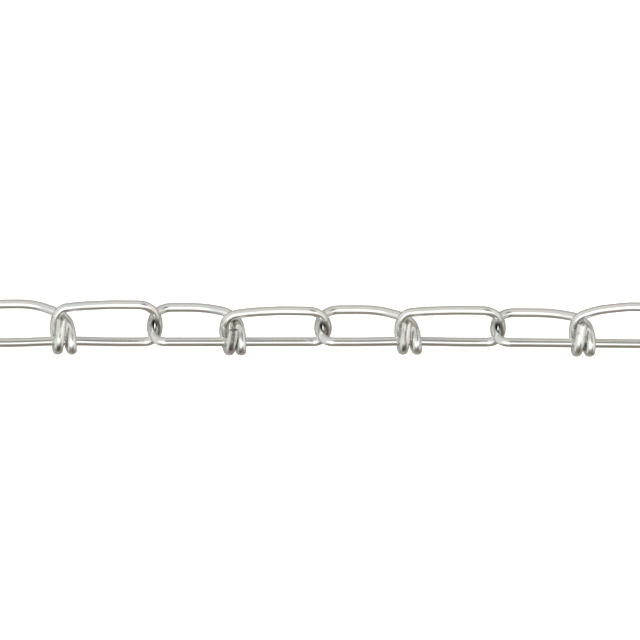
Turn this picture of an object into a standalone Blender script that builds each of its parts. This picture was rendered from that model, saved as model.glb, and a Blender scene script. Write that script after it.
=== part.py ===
"""One foot of knotted double-loop steel chain, lying straight on a level floor.

Each link is one piece of round wire. A straight through strand runs under the
knot in its middle. At both of its ends the wire turns back in a long loop, and
the two wire ends cross above the through strand and hook round it. The right
loop leans up out of the floor, the left loop leans down, and so each right loop
crosses the next left loop square on and carries it on its end bend.

Metres. X runs along the chain, Z is up, and the origin is on the floor under the
middle of the chain.
"""

import math

import bpy
from mathutils import Vector

# Driving dimensions
WIRE = 0.00203  # diameter of the wire, 14 gauge
PLAY = 0.0005  # how far two linked end bends stand off each other along the chain
LEAN = 1.84 * WIRE  # height of each loop's upper strand over the pull line
THROUGH_BEND = 1.5 * WIRE  # how far an end bend reaches past the through strand
LONG_BEND = 2.1 * WIRE  # and how far past the long strand
BEND_MIDDLE = 0.45  # share of a loop's rise at which its end bend reaches furthest
WRAP_RADIUS = 1.08 * WIRE  # from the through strand's axis to a hook's axis

# The links in order, eight to the foot. No two are formed quite alike. Each row
# is: knot to the end of the left loop, the rise of that loop's long strand over
# the through strand, and its rise where it meets the knot; the same three for the
# right loop; the rise of the front tip; how far the through strand bows up at the
# knot; and how far the link's right end lies to the side of its left end.
LINK_SIZES = (
    (0.0186, 0.0079, 0.0064, 0.0193, 0.0077, 0.0069, 0.0036, 0.0001, 0.0),
    (0.0185, 0.0078, 0.0063, 0.0194, 0.0076, 0.0067, 0.0045, 0.0002, -0.0001),
    (0.0189, 0.0085, 0.0068, 0.0200, 0.0082, 0.0076, 0.0052, 0.0003, 0.0002),
    (0.0175, 0.0076, 0.0067, 0.0197, 0.0068, 0.0060, 0.0026, 0.0, 0.0),
    (0.0190, 0.0071, 0.0058, 0.0197, 0.0070, 0.0065, 0.0044, 0.0002, -0.0001),
    (0.0189, 0.0066, 0.0058, 0.0196, 0.0080, 0.0063, 0.0042, 0.0, -0.0004),
    (0.0187, 0.0079, 0.0063, 0.0192, 0.0076, 0.0067, 0.0047, 0.0001, 0.0003),
    (0.0184, 0.0077, 0.0064, 0.0194, 0.0075, 0.0066, 0.0030, 0.0002, 0.0001),
)
BACK_TIP_RISE = 0.0030

# The wire's way in along a long strand to the knot: along the chain in wire
# diameters, share of the strand's drop to the knot, and forward in diameters.
FRONT_STRAND = (
    (5.3, -0.10, 1.83),
    (3.4, 0.10, 1.60),
    (2.2, 0.28, 1.30),
    (1.3, 0.50, 1.04),
    (0.6, 0.76, 0.86),
    (0.0, 1.00, 0.72),
)
BACK_STRAND = (
    (5.3, -0.03, 1.83),
    (3.8, 0.06, 1.64),
    (2.6, 0.33, 1.38),
    (1.8, 0.65, 1.12),
    (1.0, 1.00, 0.86),
)

# And its way down from the knot to the through strand: along the chain in wire
# diameters, share of the height at the knot, and forward in diameters.
FRONT_CURL = (
    (-0.45, 0.92, 0.60),
    (-0.80, 0.81, 0.42),
    (-1.01, 0.66, 0.10),
    (-1.07, 0.46, -0.34),
    (-1.03, 0.25, -0.74),
)
BACK_CURL = (
    (0.40, 0.90, 0.68),
    (0.00, 0.82, 0.50),
    (-0.30, 0.71, 0.24),
    (-0.55, 0.53, -0.22),
    (-0.72, 0.31, -0.72),
)
FRONT_WRAP = (-0.84, -0.54)  # where the hook meets and leaves the through strand
BACK_WRAP = (-0.80, -0.87)
TIP_LEAN = 0.20  # how far a tip leans in towards the knot's middle
TIP_SPRING = 0.25  # and how far it stands out from the through strand

# Mesh
SIDES_RESOLUTION = 3  # a ten-sided wire
BEND_STEPS = 8
BOW_STEPS = 4
WRAP_STEPS = 8
ROUTE_STEPS = 2

LENGTH = sum(sizes[0] + sizes[3] for sizes in LINK_SIZES)

STEEL = (0.72, 0.73, 0.72, 1.0)


def clear_scene():
    """Remove whatever the file holds."""
    for item in list(bpy.data.objects):
        bpy.data.objects.remove(item)


def zinc_steel():
    """Bright zinc plating on steel wire."""
    material = bpy.data.materials.new("zinc_plated_steel")
    material.use_nodes = True
    shader = material.node_tree.nodes["Principled BSDF"]
    shader.inputs["Base Color"].default_value = STEEL
    shader.inputs["Metallic"].default_value = 1.0
    shader.inputs["Roughness"].default_value = 0.25
    return material


def smooth(points, steps):
    """A Catmull-Rom curve through the points, with its own steps between each two."""
    padded = [2 * points[0] - points[1], *points, 2 * points[-1] - points[-2]]
    curve = [points[0]]
    for before, start, end, after in zip(padded, padded[1:], padded[2:], padded[3:]):
        for step in range(1, steps + 1):
            t = step / steps
            curve.append(
                0.5
                * (
                    2 * start
                    + (end - before) * t
                    + (2 * before - 5 * start + 4 * end - after) * t**2
                    + (3 * start - before - 3 * end + after) * t**3
                )
            )
    return curve


def bend_start(reach):
    """How far from the knot the straight through strand ends."""
    return reach + (WIRE + PLAY) / 2 - THROUGH_BEND


def end_bend(reach, rise):
    """The half turn at the end of a loop, from the through strand to the long strand."""
    end = reach + (WIRE + PLAY) / 2
    points = []
    for step in range(BEND_STEPS + 1):
        turn = math.pi * step / BEND_STEPS
        rising = turn > math.pi / 2
        depth = LONG_BEND if rising else THROUGH_BEND
        part_turned = 1 - BEND_MIDDLE if rising else BEND_MIDDLE
        share = BEND_MIDDLE - part_turned * math.cos(turn)
        x = end - depth * (1 - math.sin(turn))
        points.append(Vector((x, rise * share, LEAN * (2 * share - 1))))
    return points


def through_strand(reach, bow):
    """The through strand from the knot out to a loop's end bend, which it doesn't reach."""
    points = []
    for step in range(1, BOW_STEPS):
        share = step / BOW_STEPS
        x = bend_start(reach) * share
        y = bow * math.cos(math.pi / 2 * share) ** 4
        points.append(Vector((x, y, -LEAN * share)))
    return points


def wrap(start, end, through_slope, bow):
    """The half turn of a hook: behind the through strand, under it and up in front."""
    points = []
    for step in range(WRAP_STEPS + 1):
        share = step / WRAP_STEPS
        angle = math.pi * share
        x = WIRE * (start + (end - start) * share)
        y = bow - WRAP_RADIUS * math.sin(angle)
        z = -through_slope * x - WRAP_RADIUS * math.cos(angle)
        points.append(Vector((x, y, z)))
    return points


def half_link(reach, rise, knot_rise, tip_rise, other_reach, bow, strand, curl, turn):
    """Half of a link's wire, from its middle round the right loop to the cut tip."""
    bend = end_bend(reach, rise)
    route = [bend[-1]]
    for x, drop, z in strand:
        route.append(Vector((x * WIRE, rise + (knot_rise - rise) * drop, z * WIRE)))
    for x, height, z in curl:
        route.append(Vector((x * WIRE, knot_rise * height, z * WIRE)))
    hook = wrap(*turn, LEAN / bend_start(other_reach), bow)
    tip = hook[-1] + Vector((TIP_LEAN * WIRE, tip_rise - bow, TIP_SPRING * WIRE))
    over = smooth([*route, hook[0]], ROUTE_STEPS)
    way_out = through_strand(reach, bow) + bend
    return way_out + over[1:-1] + hook + [hook[-1].lerp(tip, 0.5), tip]


def link_line(sizes):
    """A whole link's centreline. Its left half is made facing right, then turned."""
    left_reach, left_rise, left_knot, right_reach, right_rise, right_knot = sizes[:6]
    front_tip_rise, bow, drift = sizes[6:]
    left_sizes = (left_reach, left_rise, left_knot, BACK_TIP_RISE, right_reach, bow)
    right_sizes = (right_reach, right_rise, right_knot, front_tip_rise, left_reach, bow)
    left = half_link(*left_sizes, BACK_STRAND, BACK_CURL, BACK_WRAP)
    right = half_link(*right_sizes, FRONT_STRAND, FRONT_CURL, FRONT_WRAP)
    turned = [Vector((-p.x, p.y, -p.z)) for p in left]
    line = turned[::-1] + [Vector((0, bow, 0))] + right
    slope = drift / (left_reach + right_reach)
    return [Vector((p.x, p.y + slope * p.x, p.z)) for p in line]


def knot_places():
    """Where each link's knot is along the pull line, and how far to its side."""
    places = []
    end = Vector((-LENGTH / 2, 0, 0))
    for sizes in LINK_SIZES:
        span = Vector((sizes[0] + sizes[3], sizes[8], 0))
        places.append(end + span * sizes[0] / span.x)
        end += span
    return places


def add_link(number, line, knot, material, chain):
    """One link as a round wire on its centreline, placed along the chain."""
    wire = bpy.data.curves.new(f"link_{number}", "CURVE")
    wire.dimensions = "3D"
    wire.bevel_depth = WIRE / 2
    wire.bevel_resolution = SIDES_RESOLUTION
    wire.use_fill_caps = True
    spline = wire.splines.new("POLY")
    spline.points.add(len(line) - 1)
    for point, place in zip(spline.points, line):
        point.co = (*place, 1)
    wire.materials.append(material)
    link = bpy.data.objects.new(f"link_{number}", wire)
    link.parent = chain
    link.location = knot
    bpy.context.scene.collection.objects.link(link)


def main():
    clear_scene()
    material = zinc_steel()
    knots = knot_places()
    lines = [link_line(sizes) for sizes in LINK_SIZES]
    places = [knot + point for knot, line in zip(knots, lines) for point in line]
    sides = [place.y for place in places]
    chain = bpy.data.objects.new("chain", None)
    chain.location.y = -(min(sides) + max(sides)) / 2
    chain.location.z = WIRE / 2 - min(place.z for place in places)
    bpy.context.scene.collection.objects.link(chain)
    for number, (line, knot) in enumerate(zip(lines, knots), start=1):
        add_link(number, line, knot, material, chain)


main()
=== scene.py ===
import math

import bpy
import numpy as np
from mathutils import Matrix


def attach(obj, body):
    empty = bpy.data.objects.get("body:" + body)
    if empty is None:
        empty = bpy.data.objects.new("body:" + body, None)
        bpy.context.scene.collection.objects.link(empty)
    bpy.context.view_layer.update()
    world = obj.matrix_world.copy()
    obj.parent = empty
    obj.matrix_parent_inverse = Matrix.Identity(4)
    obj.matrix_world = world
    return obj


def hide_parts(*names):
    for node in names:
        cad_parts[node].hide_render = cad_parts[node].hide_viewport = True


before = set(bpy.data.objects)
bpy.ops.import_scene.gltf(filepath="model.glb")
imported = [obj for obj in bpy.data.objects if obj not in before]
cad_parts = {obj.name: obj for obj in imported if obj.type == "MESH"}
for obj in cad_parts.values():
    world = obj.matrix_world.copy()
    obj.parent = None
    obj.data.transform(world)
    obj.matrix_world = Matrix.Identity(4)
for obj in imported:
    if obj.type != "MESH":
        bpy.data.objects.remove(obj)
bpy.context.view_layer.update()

# The wire of the eight links. Each link is one length of 2.03 mm drawn steel wire,
# bent cold. A straight strand runs through under the knot, turns back at both ends
# in a long loop, and the two cut ends cross over it and hook round it.

WIRE = 0.00203
LEAN = 1.84 * WIRE  # height of each loop's upper strand over the pull line
THROUGH_BEND = 1.5 * WIRE  # how far an end bend reaches past the through strand
LONG_BEND = 2.1 * WIRE  # and how far past the long strand
BEND_MIDDLE = 0.45  # share of a loop's rise at which its end bend reaches furthest
WRAP_RADIUS = 1.08 * WIRE  # from the through strand's axis to a hook's axis
SLIT = 0.13  # between two linked end bends, in wire diameters

# Each row is: knot to the end of the left loop, the rise of its long strand, and that
# strand's rise at the knot; the same three for the right loop; the rise of the front
# tip; the through strand's bow at the knot; how far the right end lies to the side.
LINKS = (
    (0.0186, 0.0079, 0.0064, 0.0193, 0.0077, 0.0069, 0.0036, 0.0001, 0.0),
    (0.0185, 0.0078, 0.0063, 0.0194, 0.0076, 0.0067, 0.0045, 0.0002, -0.0001),
    (0.0189, 0.0085, 0.0068, 0.0200, 0.0082, 0.0076, 0.0052, 0.0003, 0.0002),
    (0.0175, 0.0076, 0.0067, 0.0197, 0.0068, 0.0060, 0.0026, 0.0, 0.0),
    (0.0190, 0.0071, 0.0058, 0.0197, 0.0070, 0.0065, 0.0044, 0.0002, -0.0001),
    (0.0189, 0.0066, 0.0058, 0.0196, 0.0080, 0.0063, 0.0042, 0.0, -0.0004),
    (0.0187, 0.0079, 0.0063, 0.0192, 0.0076, 0.0067, 0.0047, 0.0001, 0.0003),
    (0.0184, 0.0077, 0.0064, 0.0194, 0.0075, 0.0066, 0.0030, 0.0002, 0.0001),
)
BACK_TIP_RISE = 0.0040

# How each link's hooks lie. Each row is: along the chain in wire diameters, the front
# hook's lowest point, its tip, and the back hook; the slope of the front tip; how dark the
# painted reflection on its front leg and lower turn is, and how far to each side of its middle.
HOOKS = (
    (-0.72, -0.22, 0.84, 0.15, 0.7, 0.20),
    (-0.60, -0.08, 0.80, 0.25, 0.5, 0.30),
    (-0.74, -0.25, 0.84, 0.08, 1.0, 0.25),
    (-0.52, -0.03, 0.82, 0.45, 1.0, 0.34),
    (-0.67, -0.23, 0.92, 0.12, 1.0, 0.25),
    (-0.76, -0.15, 0.70, 0.05, 0.25, 0.30),
    (-0.66, -0.12, 0.80, 0.30, 0.8, 0.22),
    (-0.72, -0.25, 0.86, 0.15, 0.6, 0.26),
)

# From one end bend's axis to the next link's, in wire diameters, from the chain's left
# end to its right end. Both bends' wire is flattened as far as the slit needs it.
STAND_OFFS = (1.13, 1.0, 0.98, 0.95, 1.05, 0.95, 1.02, 0.98, 1.13)

# The way in along a long strand to the knot, in wire diameters along the chain, share
# of the strand's drop to the knot, and diameters forward. Then the way down from the
# knot, with the share of the knot's height in the middle.
FRONT_STRAND = (
    (5.3, -0.10, 1.83), (3.4, 0.10, 1.60), (2.2, 0.28, 1.30),
    (1.3, 0.50, 1.04), (0.6, 0.76, 0.86), (0.0, 1.00, 0.72),
)
BACK_STRAND = (
    (5.3, -0.03, 1.83), (3.8, 0.06, 1.64), (2.6, 0.33, 1.38),
    (1.8, 0.65, 1.12), (1.0, 1.00, 0.86),
)
FRONT_CURL = (
    (-0.45, 0.92, 0.60), (-0.80, 0.81, 0.42), (-1.01, 0.66, 0.10),
    (-1.07, 0.46, -0.34), (-1.03, 0.25, -0.74),
)
BACK_CURL = (
    (0.40, 0.88, 0.70), (0.00, 0.78, 0.54), (-0.30, 0.68, 0.27),
    (-0.55, 0.53, -0.22), (-0.72, 0.31, -0.72),
)
FRONT_WRAP = -0.84  # where the front hook begins, behind the through strand
BACK_WRAP = -0.80
BACK_TIP_LEAN = 0.75
TIP_SPRING = 0.25
LEG_RADIUS = 1.79 * WIRE  # of the wide turn that brings a front tip up over the strand
LEG_START = -0.35 * WIRE  # height at which that turn begins


def curve_through(points, steps):
    """A Catmull-Rom curve through the points."""
    padded = [2 * points[0] - points[1], *points, 2 * points[-1] - points[-2]]
    curve = [points[0]]
    for before, start, end, after in zip(padded, padded[1:], padded[2:], padded[3:]):
        for t in np.arange(1, steps + 1) / steps:
            bend = (2 * before - 5 * start + 4 * end - after) * t**2
            twist = (3 * start - before - 3 * end + after) * t**3
            curve.append((2 * start + (end - before) * t + bend + twist) / 2)
    return curve


def end_bend(end, rise):
    """The half turn at a loop's end, its inner side beside the next link's."""
    points = []
    for turn in np.linspace(0, math.pi, 33):
        rising = turn > math.pi / 2
        depth = LONG_BEND if rising else THROUGH_BEND
        turned = 1 - BEND_MIDDLE if rising else BEND_MIDDLE
        share = BEND_MIDDLE - turned * math.cos(turn)
        x = end - depth * (1 - math.sin(turn))
        points.append(np.array((x, rise * share, LEAN * (2 * share - 1))))
    return points


def through_strand(end, bow):
    """From the knot out to a loop's end bend, which it doesn't quite reach."""
    points = []
    for share in np.arange(1, 12) / 12:
        y = bow * math.cos(math.pi / 2 * share) ** 4
        points.append(np.array(((end - THROUGH_BEND) * share, y, -LEAN * share)))
    return points


def hook(start, bottom, tip, slope, bow, leg_rise):
    """Behind the through strand, under it and up in front, there on a wider turn."""
    points = []
    for angle in np.linspace(0, math.pi / 2, 13):
        low = WRAP_RADIUS + (0 if leg_rise is None else LEG_START)
        points.append((-WRAP_RADIUS * math.sin(angle), low - WRAP_RADIUS - low * math.cos(angle)))
    radius = WRAP_RADIUS if leg_rise is None else LEG_RADIUS
    last_angle = math.pi / 2 if leg_rise is None else math.atan2(1, leg_rise)
    for angle in np.linspace(0, last_angle, 13)[1:]:
        y = radius - WRAP_RADIUS - radius * math.cos(angle)
        points.append((y, points[12][1] + radius * math.sin(angle)))
    along = np.interp(np.arange(25), (0, 12, 24), (start, bottom, 0.45 * bottom + 0.55 * tip))
    return [np.array((x, bow + y, z - slope * x)) for x, (y, z) in zip(along * WIRE, points)]


def half_link(end, rise, knot_rise, tip_rise, other_end, bow, strand, curl, turn, leg_rise):
    """Half of a link's wire, from its middle round the right loop to the cut tip."""
    bend = end_bend(end, rise)
    route = [bend[-1]]
    for x, drop, z in strand:
        y = rise + (knot_rise - rise) * drop
        route.append(np.array((x * WIRE, y, z * WIRE)))
    for x, height, z in curl:
        route.append(np.array((x * WIRE, knot_rise * height, z * WIRE)))
    slope = LEAN / (other_end - THROUGH_BEND)
    wrapped = hook(*turn, slope, bow, leg_rise)
    leg = tip_rise - wrapped[-1][1]
    stands_off = TIP_SPRING * WIRE if leg_rise is None else leg_rise * leg
    tip = wrapped[-1] + np.array((turn[2] * WIRE - wrapped[-1][0], leg, stands_off))
    over = curve_through([*route, wrapped[0]], 8)
    way_out = through_strand(end, bow) + bend
    return way_out + over[1:-1] + wrapped + [(wrapped[-1] + tip) / 2, tip]


def link_route(row, hooks, stand_offs):
    """A whole link's centreline, its left half made facing right and then turned."""
    left_reach, left_rise, left_knot, right_reach, right_rise, right_knot = row[:6]
    front_tip_rise, bow, drift = row[6:]
    left_end = left_reach + stand_offs[0] * WIRE / 2
    right_end = right_reach + stand_offs[1] * WIRE / 2
    left_sizes = (left_end, left_rise, left_knot, BACK_TIP_RISE, right_end, bow)
    right_sizes = (right_end, right_rise, right_knot, front_tip_rise, left_end, bow)
    front_bottom, front_tip, back_bottom, leg_rise = hooks[:4]
    back_turn = (BACK_WRAP, -back_bottom, BACK_TIP_LEAN - back_bottom)
    front_turn = (FRONT_WRAP, front_bottom, front_tip)
    left = half_link(*left_sizes, BACK_STRAND, BACK_CURL, back_turn, None)
    right = half_link(*right_sizes, FRONT_STRAND, FRONT_CURL, front_turn, leg_rise)
    turned = [p * np.array((-1, 1, -1)) for p in left]
    route = np.array(turned[::-1] + [np.array((0, bow, 0))] + right)
    route[:, 1] += route[:, 0] * drift / (left_reach + right_reach)
    return route


RING_STEP = 0.00025  # between two rings of the wire's mesh
EASING = 10  # passes that take the corners out of a bent line


def eased(route):
    """The route in even steps, with the springy roundness that bent wire has."""
    along = np.append(0, np.cumsum(np.linalg.norm(np.diff(route, axis=0), axis=1)))
    places = np.linspace(0, along[-1], round(along[-1] / RING_STEP) + 1)
    route = np.stack([np.interp(places, along, route[:, k]) for k in range(3)], axis=1)
    for _ in range(EASING):
        route[1:-1] = (route[:-2] + 2 * route[1:-1] + route[2:]) / 4
    return route, places


def faded(distance, full, none):
    """1 up to full, 0 from none on, with a soft step between."""
    share = np.clip((none - distance) / (none - full), 0, 1)
    return share * share * (3 - 2 * share)


SIDES = 24
PRESSED = 0.12  # how much wider the hooks are than round wire, where the tool closed them
PINCHED = 0.20  # and how much wider the wire is that is caught under the crossing
CROSSING = 8.2 * WIRE  # from the left loop's tip back to that place
TIP_ROUNDING = 0.00022  # length over which a sheared tip is rolled in
SHEAR_SLANT = 0.16


def across_wire(tangents, middle):
    """A direction across the wire at each ring, which doesn't twist along it."""
    directions = np.zeros_like(tangents)
    for order in (range(middle, len(tangents)), range(middle, -1, -1)):
        across = np.array((0.0, 0.0, 1.0))
        for i in order:
            across = across - tangents[i] * across.dot(tangents[i])
            across /= np.linalg.norm(across)
            directions[i] = across
    return directions


def cut_wire(name, route, along, neighbours, stand_offs, mark_strength, mark_reach):
    """One link: round wire swept along its route, pressed at its bends, cut at its tips."""
    tangents = np.gradient(route, axis=0)
    tangents /= np.linalg.norm(tangents, axis=1)[:, None]
    left_end = along[route[:, 0].argmin()]
    right_end = along[route[:, 0].argmax()]
    at_left = faded(np.abs(along - left_end), 0.2 * WIRE, 2.4 * WIRE)
    at_right = faded(np.abs(along - right_end), 0.2 * WIRE, 2.4 * WIRE)
    seated = at_left + at_right
    flattened = (1 + SLIT - stand_offs[0]) * at_left + (1 + SLIT - stand_offs[1]) * at_right
    from_tip = np.minimum(along, along[-1] - along)
    hooked = faded(from_tip, 6.0 * WIRE, 8.0 * WIRE)
    pinched = faded(np.abs(along - CROSSING), 0.4 * WIRE, 1.5 * WIRE)
    rolled = np.clip(1 - from_tip / TIP_ROUNDING, 0, 1)
    on_leg = faded(along[-1] - along, 1.8 * WIRE, 2.4 * WIRE)
    on_hook = along[-1] - along < 5 * WIRE
    marks = []
    inner_flank_shade = []
    # Rings of points round the route
    angles = np.arange(SIDES) * 2 * math.pi / SIDES
    rings = []
    for i, across in enumerate(across_wire(tangents, len(route) // 2)):
        aside = np.cross(tangents[i], across)
        ring = np.cos(angles)[:, None] * across + np.sin(angles)[:, None] * aside
        ring *= WIRE / 2 * (1 - 0.10 * rolled[i] ** 2)
        ring[:, 0] *= 1 + PRESSED * hooked[i] - flattened[i]
        # Painted shade on the inner flank of an end bend, where it faces the next link's bend
        inner_side = ring[::4, 0] / WIRE * (1 if at_left[i] > at_right[i] else -1)
        inner_flank_shade.append(min(1.3 * seated[i], 1) * faded(-inner_side, -0.38, -0.16))
        pressing = np.cross(tangents[i], (1.0, 0.0, 0.0))
        pressing /= max(np.linalg.norm(pressing), 1e-6)
        inward = ring @ pressing
        ring -= inward[:, None] * pressing * (0.08 * hooked[i] - 0.04 * seated[i])
        caught = np.cross(tangents[i], (0.0, 0.0, 1.0))
        caught /= max(np.linalg.norm(caught), 1e-6)
        ring += (ring @ caught)[:, None] * caught * PINCHED * pinched[i]
        # Painted dark reflection: a strip down the front leg's middle and a band across the hook's
        # lower turn
        off_middle = np.abs(ring[:, 0]) / WIRE + (ring[:, 2] < 0)
        below = route[0, 1] - BACK_TIP_RISE - route[i, 1] - ring[:, 1]
        turn_reflection = on_hook[i] * faded(np.abs(below - 0.0013), 0.0003, 0.0009)
        mark = np.maximum(on_leg[i], turn_reflection) * faded(off_middle, 0.07, mark_reach)
        marks.append(mark_strength * mark)
        if i in (0, len(route) - 1):
            ring += np.outer(ring[:, 0] * SHEAR_SLANT, tangents[i])
        rings.append(route[i] + ring)
    points = np.array(rings)
    # How near another strand lies, for the grime and painted shade in the crevices
    gaps = np.linalg.norm(points[:, ::4, None] - route[None, None, ::3], axis=3)
    own = np.abs(along[:, None] - along[None, ::3]) < 2.5 * WIRE
    gaps[np.repeat(own[:, None], gaps.shape[1], axis=1)] = 1.0
    beside = np.linalg.norm(points[:, ::4, None] - neighbours[None, None, ::3], axis=3)
    # Brown grime with painted shade where strands lie close
    own_grime_and_shade = 0.55 * faded(gaps.min(axis=2), 0.52 * WIRE, 0.85 * WIRE)
    shared_grime_and_shade = faded(beside.min(axis=2), 0.52 * WIRE, 0.85 * WIRE)
    grime_and_shade = np.maximum(np.maximum(own_grime_and_shade, shared_grime_and_shade), inner_flank_shade)
    nearness = np.repeat(grime_and_shade, 4, axis=1)
    # The mesh, closed with a fan at each tip
    count = len(route)
    verts = points.reshape(-1, 3)
    tips = (route[0] - tangents[0] * 0.00003, route[-1] + tangents[-1] * 0.00003)
    verts = np.vstack([verts, tips])
    faces = []
    for i in range(count - 1):
        for k in range(SIDES):
            after = (k + 1) % SIDES
            a, b = i * SIDES + k, i * SIDES + after
            faces.append((a, b, b + SIDES, a + SIDES))
    last = (count - 1) * SIDES
    for k in range(SIDES):
        after = (k + 1) % SIDES
        faces.append((count * SIDES, after, k))
        faces.append((count * SIDES + 1, last + k, last + after))
    mesh = bpy.data.meshes.new(name)
    mesh.from_pydata(verts.tolist(), [], faces)
    mesh.polygons.foreach_set("use_smooth", [True] * len(faces))
    # Where the wire was worked, its grime and painted shade where neighbours lie close, its
    # painted dark reflection, and the way along it
    worked = np.repeat(np.clip(seated * 0.8 + hooked, 0, 1), SIDES)
    for label, values in (
        ("worked", worked), ("nearness", nearness.ravel()), ("dark_reflection_mark", np.ravel(marks))
    ):
        layer = mesh.attributes.new(label, "FLOAT", "POINT")
        layer.data.foreach_set("value", np.append(values, (1.0, 1.0)))
    spread = mesh.uv_layers.new(name="wire")
    turns = np.tile(np.arange(SIDES) / SIDES, count)
    metres = np.repeat(along + 5 * route[0, 0], SIDES)
    ends = np.append(metres, (metres[0], metres[-1])), np.append(turns, (0.5, 0.5))
    corners = np.array([loop.vertex_index for loop in mesh.loops])
    uv = np.stack([ends[0][corners], ends[1][corners]], axis=1)
    seam = [k for k, face in enumerate(faces) if len(face) == 4 and k % SIDES == SIDES - 1]
    starts = np.array([mesh.polygons[k].loop_start for k in seam])
    for corner in (1, 2):
        uv[starts + corner, 1] = 1.0
    spread.uv.foreach_set("vector", uv.ravel())
    mesh.validate()
    link = bpy.data.objects.new(name, mesh)
    bpy.context.scene.collection.objects.link(link)
    return link


# The finish of every link: bright electroplated zinc with a clear passivation. It keeps
# the fine lines of the drawn wire under it, is scuffed where the forming tools closed
# the bends and hooks, and holds a little brown grime with painted shade where strands lie
# close. The front legs' middles and the hooks' lower turns carry a painted dark reflection.

ZINC_COOL = (0.775, 0.80, 0.79, 1.0)
ZINC_WARM = (0.83, 0.815, 0.77, 1.0)
DULL = (0.56, 0.57, 0.555, 1.0)
GRIME_AND_SHADE = (0.17, 0.17, 0.145, 1.0)
SCUFF_AND_REFLECTION_DARK = (0.16, 0.15, 0.125, 1.0)


def add_node(tree, kind, **values):
    node = tree.nodes.new(kind)
    for name, value in values.items():
        setattr(node, name, value)
    return node


def noise(tree, vector, scale, detail, roughness=0.5):
    """Soft random blotches, this many to the metre."""
    node = add_node(tree, "ShaderNodeTexNoise")
    node.inputs["Scale"].default_value = scale
    node.inputs["Detail"].default_value = detail
    node.inputs["Roughness"].default_value = roughness
    tree.links.new(vector, node.inputs["Vector"])
    return node.outputs["Fac"]


def between(tree, value, low, high, out_low=0.0, out_high=1.0):
    """The value, taken from one range to another."""
    node = add_node(tree, "ShaderNodeMapRange")
    node.inputs["From Min"].default_value = low
    node.inputs["From Max"].default_value = high
    node.inputs["To Min"].default_value = out_low
    node.inputs["To Max"].default_value = out_high
    tree.links.new(value, node.inputs["Value"])
    return node.outputs["Result"]


def math_node(tree, operation, first, second):
    node = add_node(tree, "ShaderNodeMath", operation=operation)
    for socket, value in zip(node.inputs, (first, second)):
        if isinstance(value, (int, float)):
            socket.default_value = value
        else:
            tree.links.new(value, socket)
    return node.outputs["Value"]


def drawn_out(tree, wire_way, along, around):
    """Places on the wire rolled up as a tube, for marks this many to the metre and round."""
    apart = add_node(tree, "ShaderNodeSeparateXYZ")
    tree.links.new(wire_way, apart.inputs["Vector"])
    angle = math_node(tree, "MULTIPLY", apart.outputs["Y"], 2 * math.pi)
    radius = around / (2 * math.pi)
    tube = add_node(tree, "ShaderNodeCombineXYZ")
    for socket, value in (
        ("X", math_node(tree, "MULTIPLY", apart.outputs["X"], along)),
        ("Y", math_node(tree, "MULTIPLY", math_node(tree, "COSINE", angle, 0.0), radius)),
        ("Z", math_node(tree, "MULTIPLY", math_node(tree, "SINE", angle, 0.0), radius)),
    ):
        tree.links.new(value, tube.inputs[socket])
    return tube.outputs["Vector"]


def blend_colours(tree, factor, first, second):
    node = add_node(tree, "ShaderNodeMix", data_type="RGBA")
    tree.links.new(factor, node.inputs["Factor"])
    for socket, value in ((node.inputs["A"], first), (node.inputs["B"], second)):
        if isinstance(value, tuple):
            socket.default_value = value
        else:
            tree.links.new(value, socket)
    return node.outputs["Result"]


def raised(tree, height, strength, depth, below=None):
    """A bump of this depth in metres, on top of the bump below it."""
    node = add_node(tree, "ShaderNodeBump")
    node.inputs["Strength"].default_value = strength
    node.inputs["Distance"].default_value = depth
    tree.links.new(height, node.inputs["Height"])
    if below is not None:
        tree.links.new(below, node.inputs["Normal"])
    return node.outputs["Normal"]


zinc = bpy.data.materials.new("bright_zinc_wire")
zinc.use_nodes = True
tree = zinc.node_tree
shader = tree.nodes["Principled BSDF"]
place = add_node(tree, "ShaderNodeTexCoord").outputs["Object"]
wire_way = add_node(tree, "ShaderNodeUVMap", uv_map="wire").outputs["UV"]
worked = add_node(tree, "ShaderNodeAttribute", attribute_name="worked").outputs["Fac"]
nearness = add_node(tree, "ShaderNodeAttribute", attribute_name="nearness").outputs["Fac"]
dark_reflection_mark = add_node(tree, "ShaderNodeAttribute", attribute_name="dark_reflection_mark").outputs["Fac"]

patches = noise(tree, place, 260.0, 3.0, 0.55)
grains = noise(tree, place, 9000.0, 2.0)
lines = noise(tree, drawn_out(tree, wire_way, 90.0, 22.0), 1.0, 4.0, 0.62)
scuffs = noise(tree, drawn_out(tree, wire_way, 420.0, 7.0), 1.0, 3.0, 0.6)

tint = between(tree, patches, 0.38, 0.62)
plated = blend_colours(tree, tint, ZINC_COOL, ZINC_WARM)
specks = noise(tree, place, 2600.0, 3.0, 0.7)
plated = blend_colours(tree, between(tree, specks, 0.60, 0.74, 0.0, 0.35), plated, DULL)
# Real scuffs where the wire was worked, and the painted dark reflection on front legs and hook
# turns, share one dark brown
scuffs_and_reflection = math_node(tree, "MULTIPLY", worked, between(tree, scuffs, 0.54, 0.70, 0.0, 0.65))
painted_leg_reflection = math_node(tree, "MULTIPLY", dark_reflection_mark, between(tree, scuffs, 0.34, 0.54, 0.55, 0.97))
scuffs_and_reflection = math_node(tree, "MAXIMUM", scuffs_and_reflection, painted_leg_reflection)
marked = blend_colours(tree, scuffs_and_reflection, plated, SCUFF_AND_REFLECTION_DARK)
# Brown grime with painted shade where strands lie close and on linked bends' inner flanks
grime_and_shade_mix = math_node(tree, "MULTIPLY", nearness, between(tree, patches, 0.30, 0.70, 0.80, 1.0))
coloured = blend_colours(tree, grime_and_shade_mix, marked, GRIME_AND_SHADE)
tree.links.new(coloured, shader.inputs["Base Color"])

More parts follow.
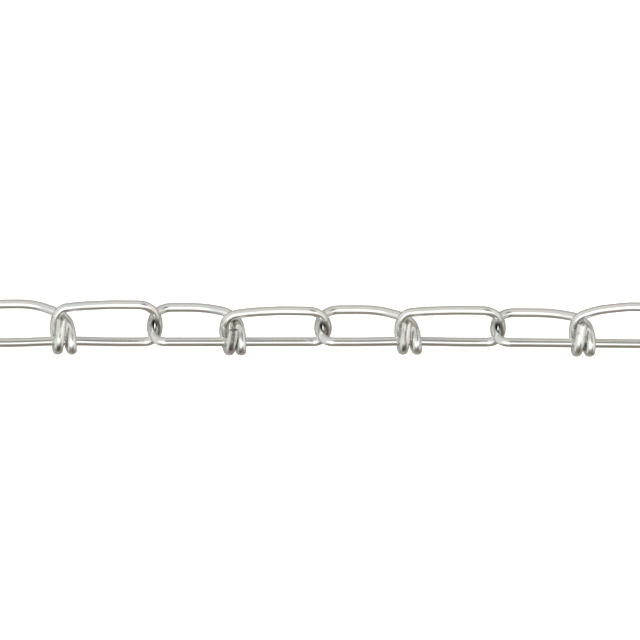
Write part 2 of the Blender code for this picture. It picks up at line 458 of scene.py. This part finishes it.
sheen = between(tree, patches, 0.30, 0.72, 0.10, 0.17)
dulled = math_node(tree, "MULTIPLY", worked, between(tree, scuffs, 0.45, 0.70, 0.0, 0.16))
drawn = between(tree, lines, 0.35, 0.70, 0.0, 0.04)
rough = math_node(tree, "ADD", math_node(tree, "ADD", sheen, dulled), drawn)
tree.links.new(rough, shader.inputs["Roughness"])

surface = raised(tree, lines, 0.30, 0.00003)
surface = raised(tree, scuffs, 0.25, 0.00004, surface)
surface = raised(tree, grains, 0.14, 0.00001, surface)
tree.links.new(surface, shader.inputs["Normal"])
shader.inputs["Metallic"].default_value = 1.0

# The links in the chain. Each hangs on the end bend of the one before it, with its
# own body, and its swept wire stands for its CAD solid.

PULL_HEIGHT = 0.004763
THROUGH_Y = -0.003043

routes = []
ways = []
end = np.array((-sum(row[0] + row[3] for row in LINKS) / 2, THROUGH_Y, PULL_HEIGHT))
for row, hooks, stand_offs in zip(LINKS, HOOKS, zip(STAND_OFFS, STAND_OFFS[1:])):
    span = np.array((row[0] + row[3], row[8], 0.0))
    route, along = eased(link_route(row, hooks, stand_offs))
    routes.append(route + end + span * row[0] / span[0])
    ways.append(along)
    end = end + span

for number, (route, along, hooks) in enumerate(zip(routes, ways, HOOKS), start=1):
    neighbours = np.vstack(routes[max(number - 2, 0) : number - 1] + routes[number : number + 1])
    stand_offs = STAND_OFFS[number - 1 : number + 1]
    link = cut_wire(f"link_{number}_wire", route, along, neighbours, stand_offs, *hooks[4:])
    link.data.materials.append(zinc)
    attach(link, f"link_{number}")
    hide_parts(f"link_{number}")

# The plain white floor that the chain lies on. The wire doesn't mirror it, as in the
# photograph the wire's lower edges stay grey on white.

floor_mesh = bpy.data.meshes.new("floor")
floor_mesh.from_pydata([(-4, -4, 0), (4, -4, 0), (4, 4, 0), (-4, 4, 0)], [], [(0, 1, 2, 3)])
floor = bpy.data.objects.new("floor", floor_mesh)
bpy.context.scene.collection.objects.link(floor)
paper = bpy.data.materials.new("white_paper")
paper.use_nodes = True
paper_shader = paper.node_tree.nodes["Principled BSDF"]
paper_shader.inputs["Base Color"].default_value = (0.9, 0.9, 0.89, 1.0)
paper_shader.inputs["Roughness"].default_value = 0.9
paper_shader.inputs["Specular IOR Level"].default_value = 0.0
paper_shader.inputs["Emission Color"].default_value = (1.0, 1.0, 0.995, 1.0)
paper_shader.inputs["Emission Strength"].default_value = 0.80
floor_mesh.materials.append(paper)
floor.visible_glossy = False

# Soft studio light. A broad white source hangs over the chain, with a dark camera arm
# to the right of it. Pale walls stand behind and at both sides; the front stays dark.

OVERHEAD = 1.7
AROUND = (  # angle from straight up, towards the back of the table; brightness; warmth
    (-180, 0.55, 0.86), (-150, 0.52, 0.84), (-128, 0.46, 0.82), (-108, 0.32, 0.77),
    (-88, 0.25, 0.75), (-70, 0.34, 0.84), (-57, 0.66, 0.92), (-48, 1.0, 0.96),
    (-40, 1.4, 1.0), (-31, OVERHEAD, 1.0), (-4, OVERHEAD, 1.0), (6, 1.3, 1.0),
    (14, 0.92, 0.98), (25, 0.80, 0.95), (45, 0.78, 0.94), (66, 0.82, 0.94),
    (86, 0.68, 0.93), (106, 0.52, 0.93), (128, 0.45, 0.92), (180, 0.42, 0.88),
)
AROUND_RIGHT = (  # the same, where the camera arm is
    (-180, 0.42, 0.84), (-150, 0.42, 0.82), (-128, 0.38, 0.80), (-104, 0.26, 0.76),
    (-80, 0.23, 0.76), (-62, 0.31, 0.84), (-50, 0.46, 0.92), (-40, 0.74, 0.96),
    (-32, 1.25, 1.0), (-25, OVERHEAD, 1.0), (-12, OVERHEAD, 1.0), (-5, 1.2, 1.0),
    (1, 0.60, 1.0), (9, 0.30, 0.98), (22, 0.25, 0.95), (36, 0.38, 0.94),
    (50, 0.66, 0.93), (66, 0.78, 0.93), (86, 0.64, 0.93), (104, 0.50, 0.93),
    (128, 0.45, 0.92), (180, 0.42, 0.86),
)
ARM_BEGINS = 0.10  # share of the way to the right at which the arm shows
ARM_FULL = 0.30
# Each wall's brightness by the height of the direction it is seen in
LEFT_WALL = ((-1.0, 0.38), (-0.45, 0.50), (-0.10, 0.88), (0.30, 0.84), (1.0, 0.80))
LEFT_WALL_COLOUR = (0.98, 1.0, 0.99)
RIGHT_WALL = ((-1.0, 0.34), (-0.45, 0.46), (-0.10, 0.76), (0.30, 0.95), (1.0, 0.95))
RIGHT_WALL_COLOUR = (1.0, 0.98, 0.94)

world = bpy.data.worlds.new("studio")
bpy.context.scene.world = world
world.use_nodes = True
sky = world.node_tree


def colour_steps(steps, value):
    """Colours along a value from 0 to 1, each step a place and a colour."""
    ramp = add_node(sky, "ShaderNodeValToRGB")
    sky.links.new(value, ramp.inputs["Fac"])
    ramp.color_ramp.interpolation = "EASE"
    while len(ramp.color_ramp.elements) < len(steps):
        ramp.color_ramp.elements.new(0.5)
    for element, (place, _) in zip(ramp.color_ramp.elements, steps):
        element.position = place
    for element, (_, colour) in zip(ramp.color_ramp.elements, steps):
        element.color = colour
    return ramp.outputs["Color"]


def all_round(steps, turn):
    """The steps of a turn from straight down, past the front, the top and the back."""
    colours = []
    for angle, brightness, warmth in steps:
        share = brightness / OVERHEAD
        colours.append(((angle + 180) / 360, (share, share * (1 + warmth) / 2, share * warmth, 1)))
    return colour_steps(colours, turn)


direction = add_node(sky, "ShaderNodeTexCoord").outputs["Generated"]
apart = add_node(sky, "ShaderNodeSeparateXYZ")
sky.links.new(direction, apart.inputs["Vector"])
rightward, backward, upward = apart.outputs
turn = between(sky, math_node(sky, "ARCTAN2", backward, upward), -math.pi, math.pi)
under_arm = between(sky, rightward, ARM_BEGINS, ARM_FULL)
over = blend_colours(sky, under_arm, all_round(AROUND, turn), all_round(AROUND_RIGHT, turn))
for steps, colour, begins, full in (
    (LEFT_WALL, LEFT_WALL_COLOUR, -0.42, -0.70), (RIGHT_WALL, RIGHT_WALL_COLOUR, 0.50, 0.78)
):
    heights = []
    for height, brightness in steps:
        lit = [brightness * channel / OVERHEAD for channel in colour]
        heights.append(((height + 1) / 2, (*lit, 1.0)))
    wall = colour_steps(heights, between(sky, upward, -1.0, 1.0))
    over = blend_colours(sky, between(sky, rightward, begins, full), over, wall)
background = sky.nodes["Background"]
sky.links.new(over, background.inputs["Color"])
background.inputs["Strength"].default_value = OVERHEAD

# The camera looks straight down, as in the photograph, through a long lens. The frame
# is 141.8 mm wide and takes in links 3 to 6.

FRAME_WIDTH = 0.1418
CAMERA_HEIGHT = 2.5
camera_data = bpy.data.cameras.new("camera")
camera_data.lens = 36 * CAMERA_HEIGHT / FRAME_WIDTH
camera_data.sensor_width = 36
camera_data.clip_end = 20
camera = bpy.data.objects.new("camera", camera_data)
camera.location = (-0.00116, THROUGH_Y + 0.00494, CAMERA_HEIGHT)
bpy.context.scene.collection.objects.link(camera)
bpy.context.scene.camera = camera
bpy.context.scene.view_settings.view_transform = "Standard"
